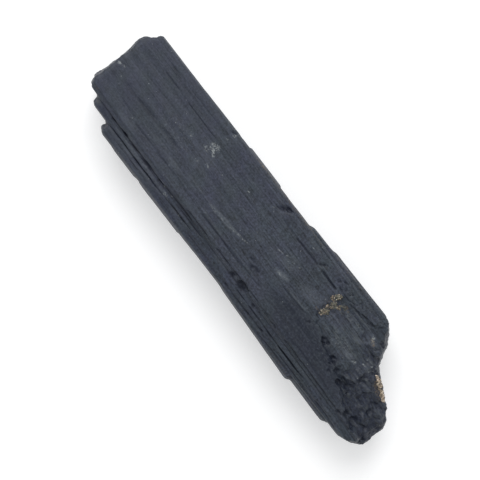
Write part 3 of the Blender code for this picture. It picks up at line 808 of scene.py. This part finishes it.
@dataclass(frozen=True)
class SchorlFinish:
    """Black tourmaline: dull blue-grey prism faces, furrows darkened with painted shade, and glassier
    breaks.
    """

    face: Colour = (0.0314, 0.0362, 0.0568, 1.0)
    face_cool: Colour = (0.0298, 0.0382, 0.0498, 1.0)
    # lighter flakes, and a painted highlight on ridges
    bloom_and_highlight: Colour = (0.094, 0.106, 0.110, 1.0)
    # dusty patches, and painted light on lit edges and on shaded ledges
    dust_and_painted_light: Colour = (0.092, 0.105, 0.124, 1.0)
    # darker patches, and painted shade in chips, furrows and hollows
    deep: Colour = (0.007, 0.010, 0.021, 1.0)
    broken: Colour = (0.0152, 0.0190, 0.0340, 1.0)
    # pale scuffs and specks, and painted highlights along lit edges
    pale: Colour = (0.256, 0.275, 0.280, 1.0)
    stain: Colour = (0.115, 0.086, 0.058, 1.0)

    def material(self) -> Material:
        """The finish as a material.

        Returns:
            A new material.
        """
        made, sheet, shader = new_material("schorl")
        place, broken = sheet.millimetres(), sheet.attribute("broken")
        lines = sheet.group(striation_group(), Place=place, Pitch=0.22, Run=5.0)
        grit = sheet.group(grit_group(), Place=place, Size=0.22)["Height"]
        fine = sheet.times(lines["Height"], sheet.math("SUBTRACT", 1.0, broken))
        values = {
            "Base Color": self.colour(sheet, place, broken, lines["Streak"]),
            "Roughness": sheet.times(broken, -0.10, sheet.times(grit, 0.22, 0.42)),
            "Specular IOR Level": 0.28,
            "Normal": sheet.bump(sheet.times(fine, 0.04, sheet.times(grit, 0.06)), MM),
        }
        sheet.feed(shader, values)
        return made

    def colour(self, sheet: Sheet, place: NodeSocket, broken: NodeSocket, streak: NodeSocket) -> NodeSocket:
        """Everything that is only colour.

        Args:
            sheet: the material's nodes.
            place: the place in millimetres.
            broken: how much of each place is a break.
            streak: fine lines of light and dark.

        Returns:
            The socket with the colour.
        """
        relief = sheet.attribute("relief")
        relief_shading = sheet.group(ridge_and_hollow_shading_group(), Place=place, Relief=relief, Reach=0.08)
        motes = sheet.group(flecks_group(), Place=place, Spacing=1.1, Radius=0.17, Share=0.30)["Mask"]
        flakes = sheet.group(striation_group(), Place=place, Pitch=0.24, Run=1.7)["Streak"]
        hairlines = sheet.group(striation_group(), Place=place, Pitch=0.24, Run=4.5)["Height"]
        along = sheet.node("SeparateXYZ", {0: place}).outputs[0]

        # the plain faces, cooler in patches and towards the tip
        cool = sheet.ramp(along, -10.0, 30.0, (0.0, 0.4))
        cool = sheet.times(sheet.ramp(sheet.noise(place, 0.28, 1.5), 0.32, 0.68), 0.9, cool)
        colour = sheet.blended(cool, self.face, self.face_cool)
        colour = sheet.blended(sheet.times(broken, 0.8), colour, self.broken)

        # the fine mottle, fainter towards the blunt end
        strong = sheet.ramp(along, -32.0, 2.0, (0.55, 1.0))
        fine = sheet.math("SUBTRACT", sheet.times(hairlines, 0.60, sheet.noise(place, 2.6)), 0.8)
        mottle = sheet.times(sheet.noise(place, 0.9), 0.5, 0.75)
        mottle = sheet.times(sheet.times(fine, strong), 2.7, mottle)
        mottle = sheet.times(sheet.times(sheet.math("SUBTRACT", streak, 0.5), strong), 0.26, mottle)
        colour = sheet.scaled(colour, sheet.math("MAXIMUM", mottle, 0.2))

        # patches with painted light and shade, flakes, painted ridge highlights and hollow shade, scuffs,
        # stains
        tone = sheet.attribute("tone")
        uneven = sheet.ramp(sheet.noise(place, 2.2, 4.0), 0.35, 0.6, (0.3, 1.0))
        solid = sheet.math("MAXIMUM", uneven, sheet.ramp(tone, -0.6, -1.2))
        where = sheet.times(broken, 0.8, sheet.attribute("layer"))
        speck = sheet.ramp(sheet.noise(place, 3.4, 4.0), 0.38, 0.66)
        for mask, most, tint in (
            # tone above 0: dusty patches, and painted light on lit edges and shaded ledges
            (sheet.times(sheet.ramp(tone, 0.0, 1.5), uneven), 0.85, self.dust_and_painted_light),
            # tone below 0: darker patches, and painted shade in the chips
            (sheet.times(sheet.ramp(tone, 0.0, -0.6), solid), 0.85, self.deep),
            (sheet.times(sheet.ramp(flakes, 0.50, 1.0), where), 0.55, self.bloom_and_highlight),
            # a painted highlight on ridges
            (relief_shading["Edges"], 0.12, self.bloom_and_highlight),
            # painted shade in hollows
            (relief_shading["HollowShade"], 0.75, self.deep),
            # pale scuffs and specks, and painted highlights along lit edges
            (sheet.ramp(sheet.times(sheet.attribute("pale"), speck), 0.10, 0.55), 0.8, self.pale),
            (sheet.ramp(sheet.times(sheet.attribute("stain"), speck), 0.10, 0.50), 0.8, self.stain),
            (motes, 0.50, self.pale),
        ):
            colour = sheet.blended(sheet.times(mask, most), colour, tint)
        return colour


@dataclass(frozen=True)
class MatrixFinish:
    """Grains of pale feldspar and mica with rusty stains."""

    name: str
    light: Colour
    rosy: Colour
    warm: Colour
    green: Colour
    dark: Colour

    def material(self) -> Material:
        """The finish as a material.

        Returns:
            A new material.
        """
        made, sheet, shader = new_material(self.name)
        place, relief = sheet.millimetres(), sheet.attribute("relief")
        grit = sheet.group(grit_group(), Place=place, Size=0.12)
        relief_shading = sheet.group(ridge_and_hollow_shading_group(), Place=place, Relief=relief, Reach=0.05)
        motes = sheet.group(flecks_group(), Place=place, Spacing=0.35, Radius=0.09, Share=0.3)
        tone = sheet.times(sheet.math("SUBTRACT", grit["Mottle"], 0.5), 0.3, sheet.attribute("tone"))
        rosy = sheet.ramp(sheet.noise(place, 0.8, 1.0), 0.42, 0.56)
        colour = self.dark
        for share, tint in (
            (sheet.ramp(tone, 0.20, 0.40), self.green),
            (sheet.ramp(tone, 0.52, 0.62), self.warm),
            (sheet.ramp(tone, 0.74, 0.90), sheet.blended(rosy, self.light, self.rosy)),
            (sheet.times(motes["Mask"], 0.6), self.dark),
            # painted shade in the hollows between grains
            (sheet.times(relief_shading["HollowShade"], 0.6), self.dark),
        ):
            colour = sheet.blended(share, colour, tint)
        roughness = sheet.ramp(grit["Mottle"], 0.0, 1.0, (0.45, 0.8))
        normal = sheet.bump(grit["Height"], 0.05 * MM)
        sheet.feed(shader, {"Base Color": colour, "Roughness": roughness, "Normal": normal})
        return made


# Sub-assemblies


@dataclass(frozen=True)
class Warp:
    """Squeezes the crystal where few faces are enough, so that an even skin has more elsewhere."""

    along: tuple[tuple[float, ...], ...] = ((-60.0, 16.0, 27.0, 60.0), (-21.6, 5.8, 12.2, 39.3))
    up: tuple[tuple[float, ...], ...] = ((-5.0, 3.0, 8.0, 20.0), (-2.0, 1.2, 3.95, 14.15))
    narrowest: float = 0.50

    def moved(self, points: Array, back: bool) -> Array:
        """The points squeezed, or back on the crystal.

        Args:
            points: places on the crystal, or in the squeezed space.
            back: whether they go back.

        Returns:
            Where each lies on the other side.
        """
        x, z = (
            np.interp(points[:, axis], *(knots[::-1] if back else knots))
            for axis, knots in ((0, self.along), (2, self.up))
        )
        kept = self.narrowest + (1.0 - self.narrowest) * eased(z if back else points[:, 2], 0.0, 8.0)
        return np.stack([x, points[:, 1] / kept if back else points[:, 1] * kept, z], axis=1)


@dataclass
class CrystalBody:
    """The crystal: the CAD solid with its growth striations, furrows, chips and broken grain."""

    grain: float = 0.166  # the size of a face across the crystal
    bed_spread: float = 0.60  # how far the beds under the crusts fill the gap round them
    bed_drop: float = 0.16  # and how far below the crusts they lie
    side_swell: float = 0.10  # how far the sides stand outside the CAD solid's
    half_y: float = 9.5  # half the breadth of the section that the growth lines go round
    layer: Spot = Spot(25.0, 4.2, 9.0, 5.6)  # where the upper face's top layer is broken away
    hollows_unshaded: Spot = Spot(19.1, 4.0, 3.6, 4.4, 0.8)  # where the hollows get no painted shade
    calm: Spot = Spot(38.8, -5.2, 4.6, 1.9, 0.6)  # where the tip's break is smoother

    def build(self, material: Material) -> Object:
        """Makes the crystal.

        Args:
            material: its finish.

        Returns:
            The finished piece.
        """
        mesh = self.skin()
        near = Neighbours(mesh)
        points = coordinates(mesh)
        facing = near.evened(normals_of(mesh), 6)
        facing /= np.maximum(1e-6, np.linalg.norm(facing, axis=1))[:, None]
        seen = OVERHEAD.seen(points)
        ragged = self.ragged(seen)
        broken = self.broken_share(points, facing)
        upper = eased(facing[:, 2], 0.15, 0.5)
        height = self.striations(points, eased(facing[:, 2], 0.7, 0.95)) * (1.0 - broken)
        height += self.fracture(points, broken)
        height += upper * (self.hand_marks(seen, ragged) + self.crumbled(seen, facing))
        height += self.side_swell * eased(np.abs(facing[:, 1]), 0.4, 0.85)
        height = np.where(points[:, 2] < 0.6, np.minimum(0.0, height), height)
        moved = points + facing * height[:, None]
        moved += (0.6 * broken)[:, None] * (near.evened(moved, 2) - moved)
        for spot, way in WORN:
            moved[:, :2] += spot.share(points)[:, None] * np.array(way)
        moved[:, 2] = np.maximum(moved[:, 2], 0.0)
        set_coordinates(mesh, moved)
        # relief paints a highlight on ridges and shade in hollows, none round the pocket crust
        relief = np.einsum("ij,ij->i", moved - near.evened(moved, 14), facing)
        store(mesh, "relief", relief * (1.0 - self.hollows_unshaded.share(seen)))
        store(mesh, "broken", broken)
        store(mesh, "layer", self.layer_share(seen))
        # tone and pale carry painted light and painted shade as well as the crystal's own marks
        store(mesh, "tone", upper * sum(spot.share(ragged) for spot in TONES))
        for name, marks in (("pale", PALE_AND_HIGHLIGHTS), ("stain", STAINS)):
            store(mesh, name, upper * np.max([spot.share(ragged) for spot in marks], axis=0))
        return finished(mesh, "tourmaline", "tourmaline_crystal", material)

    def skin(self) -> Mesh:
        """The CAD solid with a bed under each crust, as one fine skin.

        Returns:
            A mesh of even quads.
        """
        bm = merged_copy("tourmaline_crystal")
        for node in ("matrix_in_pocket", "matrix_on_tip"):
            bed = merged_copy(node)
            bed.normal_update()
            for vert in bed.verts:
                out = self.bed_spread * vert.normal
                if node == "matrix_on_tip":
                    out.y = min(0.0, out.y)
                vert.co += Vector((out.x, out.y, min(0.0, out.z) - self.bed_drop))
            spare = bpy.data.meshes.new("bed")
            bed.to_mesh(spare)
            bed.free()
            bm.from_mesh(spare)
            bpy.data.meshes.remove(spare)
        places = Warp().moved(np.array([vert.co[:] for vert in bm.verts]), back=False)
        for vert, place in zip(bm.verts, places):
            vert.co = place
        mesh = remeshed(bm, "tourmaline", self.grain)
        set_coordinates(mesh, Warp().moved(coordinates(mesh), back=True))
        return mesh

    @staticmethod
    def broken_share(points: Array, facing: Array) -> Array:
        """How much of each point is a break and not a grown face.

        Args:
            points: places on the crystal.
            facing: which way it faces.

        Returns:
            A number from 0 to 1 for each point.
        """
        x = points[:, 0] + 0.9 * soft_noise(points, (2.0, 1.3, 1.3), 5)
        ends = eased(np.abs(facing[:, 0]), 0.35, 0.62)
        low = eased(FACE_Z - points[:, 2], 0.5, 1.1) * eased(facing[:, 2], 0.25, 0.55)
        return np.maximum(ends, eased(x, 28.5, 31.0) * low * eased(points[:, 1], -7.2, -6.6))

    def layer_share(self, points: Array) -> Array:
        """How much of each point lies where the top layer is broken away, and below its level."""
        return self.layer.share(points) * eased(FACE_Z - points[:, 2], 0.3, 0.6)

    def around(self, points: Array) -> Array:
        """The distance round the crystal, measured on a box of about its section.

        Args:
            points: places on the crystal.

        Returns:
            A distance for each point.
        """
        half_y, half_z = self.half_y, MIDDLE_Z
        y, z = points[:, 1], points[:, 2] - MIDDLE_Z
        top = np.abs(z) * half_y >= np.abs(y) * half_z
        scale = np.where(top, half_z / np.maximum(1e-6, np.abs(z)), half_y / np.maximum(1e-6, np.abs(y)))
        along_top = np.where(z > 0, y * scale, 4 * (half_y + half_z) - y * scale)
        along_side = np.where(y > 0, half_y + half_z - z * scale, -half_y - half_z + z * scale)
        return np.where(top, along_top, along_side)

    def striations(self, points: Array, flat: Array) -> Array:
        """The growth lines of the prism faces.

        Args:
            points: places on the crystal.
            flat: how much of each is the upper face, whose lines are faint.

        Returns:
            A height for each point.
        """
        around = self.around(points) + 0.10 * soft_noise(points, (24.0, 3.0, 3.0), 8)
        along = points[:, 0]
        height = GrowthLanes(1.45, 26.0, 0.045, 0.07, 11).height(around, along)
        height += GrowthLanes(0.62, 13.0, 0.022, 0.04, 31, bank=0.09).height(around, along)
        height += 0.05 * soft_noise(points, (30.0, 1.9, 1.9), 51)
        height *= 1.0 - 0.7 * flat
        height += 0.014 * soft_noise(points, (3.0, 0.5, 0.5), 61)
        fine = GrowthLanes(0.44, 2.0, 0.09, 0.20, 71, bank=0.07).height(around, along)
        return height + self.layer_share(points) * fine

    def fracture(self, points: Array, broken: Array) -> Array:
        """The grain of the broken surfaces, a height for each point."""
        sizes = (0.13, (2.4, 1.6, 1.6), 101), (0.09, (0.9, 0.65, 0.65), 121), (0.06, (0.45, 0.36, 0.36), 141)
        return broken_grain(points, broken * (1.0 - self.calm.share(points)), *sizes)

    @staticmethod
    def crumbled(points: Array, facing: Array) -> Array:
        """The crumbling of the rough patches and of the top layer's edge.

        Args:
            points: places on the crystal, as seen.
            facing: which way it faces there.

        Returns:
            A height for each point.
        """
        share = eased(facing[:, 2], 0.97, 0.90) * eased(points[:, 0], 16.0, 19.0)
        share *= eased(points[:, 1], -7.0, -6.0)
        share = np.max([share, *(spot.share(points) for spot in CRUMBLY)], axis=0)
        return broken_grain(points, share, (0.12, (1.1, 0.55, 0.8), 161), (0.07, (0.5, 0.34, 0.4), 181))

    @staticmethod
    def ragged(points: Array) -> Array:
        """The points nudged to and fro, for marks with ragged outlines.

        Args:
            points: places on the crystal.

        Returns:
            The nudged places.
        """
        moved = points.copy()
        for axis, (broad, narrow) in enumerate(((0.34, 0.18), (0.13, 0.10))):
            moved[:, axis] += broad * soft_noise(points, (1.1, 0.7, 0.9), 210 + axis)
            moved[:, axis] += narrow * soft_noise(points, (0.5, 0.3, 0.4), 215 + axis)
        return moved

    @staticmethod
    def hand_marks(points: Array, ragged: Array) -> Array:
        """The furrows, ribs, chips and cracks of the upper side.

        Args:
            points: places on the crystal.
            ragged: the same places, nudged.

        Returns:
            A height for each point.
        """
        x = points[:, 0]
        y = points[:, 1] + 0.09 * soft_noise(points, (4.0, 2.0, 2.0), 205)
        worn = 0.3 + 0.7 * eased(soft_noise(points, (1.8, 0.5, 2.0), 207), -0.5, 0.2)
        height = sum(line.relief(x, y) * (1.0 if line.unbroken else worn) for line in FURROWS + RIBS)
        rough = 0.55 * (1.0 + 0.5 * facets(points, (0.6, 0.5, 0.5), 220))
        height -= rough * sum(spot.share(ragged) for spot in CHIPS)
        return height - sum(spot.share(points) for spot in CRACKS)


@dataclass
class MatrixCrust:
    """A crust of small grains on the bed that the CAD crust gives it."""

    node: str
    name: str
    slot: str
    count: int
    radius: tuple[float, float]
    seed: int
    faded: Spot  # where its grains are duller, or brighter if its strength is below 0
    bed_grain: float = 0.13

    def build(self, material: Material) -> Object:
        """Makes the crust.

        Args:
            material: its finish.

        Returns:
            The finished piece.
        """
        bed = remeshed(merged_copy(self.node), self.name, self.bed_grain)
        points, facing = coordinates(bed), normals_of(bed)
        sizes = (0.18, (0.7, 0.55, 0.55), self.seed), (0.09, (0.32, 0.3, 0.3), self.seed + 20)
        lumps = broken_grain(points, np.ones(len(points)), *sizes)
        set_coordinates(bed, points + facing * lumps[:, None])
        bm = bmesh.new()
        bm.from_mesh(bed)
        tone = bm.verts.layers.float.new("tone")
        faded = self.faded.share(points)
        clouds = 0.5 + 0.5 * soft_noise(points, (0.9, 0.7, 0.7), self.seed + 40)
        for vert, value in zip(bm.verts, clouds - faded):
            vert[tone] = value
        draw = random.Random(self.seed)
        upper = [k for k in range(len(points)) if facing[k][2] > -0.1]
        for k in draw.sample(upper, self.count):
            self.add_grain(bm, Vector(points[k]), Vector(facing[k]), faded[k], draw)
        bm.to_mesh(bed)
        bm.free()
        moved = coordinates(bed)
        away = moved - Neighbours(bed).evened(moved, 5)
        # relief paints shade in the hollows between grains
        store(bed, "relief", np.einsum("ij,ij->i", away, normals_of(bed)))
        return finished(bed, self.name, self.node, material)

    def add_grain(self, bm: BMesh, place: Vector, out: Vector, faded: float, draw: random.Random) -> None:
        """Sets one angular grain into the crust.

        Args:
            bm: the crust.
            place: where the grain sits.
            out: which way the crust faces there.
            faded: how much duller it is than most.
            draw: the source of its size and shape.
        """
        tone = bm.verts.layers.float["tone"]
        radius = draw.uniform(*self.radius)
        made = bmesh.ops.create_icosphere(bm, subdivisions=1, radius=radius)["verts"]
        squash = Vector(draw.uniform(0.6, 1.25) for _ in range(3))
        turn = Matrix.Rotation(draw.uniform(0, math.tau), 3, Vector(draw.uniform(-1, 1) for _ in range(3)))
        shade = draw.random() - faded
        sunk = draw.choice((-0.6, -0.3, 0.3)) * radius
        for vert in made:
            vert.co = turn @ (vert.co * squash * draw.uniform(0.82, 1.15)) + place + sunk * out
            vert[tone] = shade


@dataclass(frozen=True)
class Lamp:
    """A square soft lamp that faces the crystal."""

    name: str
    way: tuple[float, float, float]  # the direction in which it stands
    far: float  # metres
    size: float  # metres
    power: float  # watts

    def build(self) -> None:
        """Makes the lamp."""
        data = bpy.data.lights.new(self.name, "AREA")
        data.size = self.size
        data.energy = self.power
        place = self.far * Vector(self.way).normalized()
        lamp = linked(self.name, data)
        lamp.location = place
        lamp.rotation_euler = (-place).to_track_quat("-Z", "Y").to_euler()


@dataclass(frozen=True)
class Studio:
    """A white table, a broad soft lamp, an even sky and the camera straight above."""

    key: Lamp = Lamp("key", (-0.80, 0.60, 1.25), 0.62, 0.45, 2.75)
    fill: Lamp = Lamp("fill", (0.9, -0.7, 1.1), 0.7, 0.6, 0.3)
    table_half: float = 1.5  # half the table's side in metres
    table_shades: tuple[Colour, Colour] = ((0.70, 0.70, 0.70, 1.0), (0.72, 0.72, 0.72, 1.0))
    table_glow: float = 0.40  # how much the table is lit from within
    sky_colour: Colour = (0.97, 0.985, 1.0, 1.0)
    sky_strength: float = 0.55

    def build(self) -> None:
        """Makes the table, the lights and the camera."""
        self.table()
        self.sky()
        self.key.build()
        self.fill.build()
        self.camera()

    def table(self) -> None:
        """A plain pale floor, lit a little from within like a light table."""
        bm = bmesh.new()
        bmesh.ops.create_grid(bm, x_segments=1, y_segments=1, size=self.table_half)
        mesh = bpy.data.meshes.new("table")
        bm.to_mesh(mesh)
        bm.free()
        material, sheet, shader = new_material("table")
        values = {
            "Base Color": sheet.blended(sheet.noise(sheet.millimetres(), 0.6), *self.table_shades),
            "Roughness": 0.8,
            "Specular IOR Level": 0.2,
            "Emission Color": (1.0, 1.0, 1.0, 1.0),
            "Emission Strength": self.table_glow,
        }
        sheet.feed(shader, values)
        mesh.materials.append(material)
        linked("table", mesh)

    def sky(self) -> None:
        """An even white surround."""
        world = bpy.data.worlds.new("sky")
        bpy.context.scene.world = world
        world.use_nodes = True
        background = world.node_tree.nodes["Background"].inputs
        background["Color"].default_value = self.sky_colour
        background["Strength"].default_value = self.sky_strength

    @staticmethod
    def camera() -> None:
        """The camera, straight above and turned so that the crystal lies across its view."""
        data = bpy.data.cameras.new("camera")
        data.lens = OVERHEAD.lens
        data.clip_start = 0.01
        camera = linked("camera", data)
        camera.location = MM * Vector((*OVERHEAD.aim, OVERHEAD.sharp_z + OVERHEAD.distance))
        camera.rotation_euler = (0.0, 0.0, math.radians(OVERHEAD.turn))
        bpy.context.scene.camera = camera
        bpy.context.scene.view_settings.view_transform = "Standard"


POCKET_FINISH = MatrixFinish(
    "pale_matrix",
    light=(0.42, 0.405, 0.33, 1.0),
    rosy=(0.48, 0.37, 0.30, 1.0),
    warm=(0.185, 0.148, 0.108, 1.0),
    green=(0.110, 0.110, 0.084, 1.0),
    dark=(0.052, 0.052, 0.048, 1.0),
)
TIP_FINISH = MatrixFinish(
    "tan_matrix",
    light=(0.65, 0.58, 0.49, 1.0),
    rosy=(0.66, 0.53, 0.425, 1.0),
    warm=(0.41, 0.335, 0.245, 1.0),
    green=(0.27, 0.220, 0.160, 1.0),
    dark=(0.15, 0.115, 0.085, 1.0),
)


def main() -> None:
    """Builds the studio and the three pieces, and notes the model's size."""
    logging.basicConfig(level=logging.INFO, format="%(message)s")
    Studio().build()
    CrystalBody().build(SchorlFinish().material())
    faded = Spot(20.5, 6.0, 1.7, 1.4, 0.45)
    pocket = MatrixCrust("matrix_in_pocket", "pocket_grains", "pale_matrix", 430, (0.09, 0.21), 7, faded)
    pocket.build(POCKET_FINISH.material())
    brighter = Spot(37.0, 2.0, 8.0, 4.0, -0.15)
    tip = MatrixCrust("matrix_on_tip", "tip_grains", "tan_matrix", 460, (0.10, 0.23), 9, brighter)
    tip.build(TIP_FINISH.material())


if __name__ == "__main__":
    main()
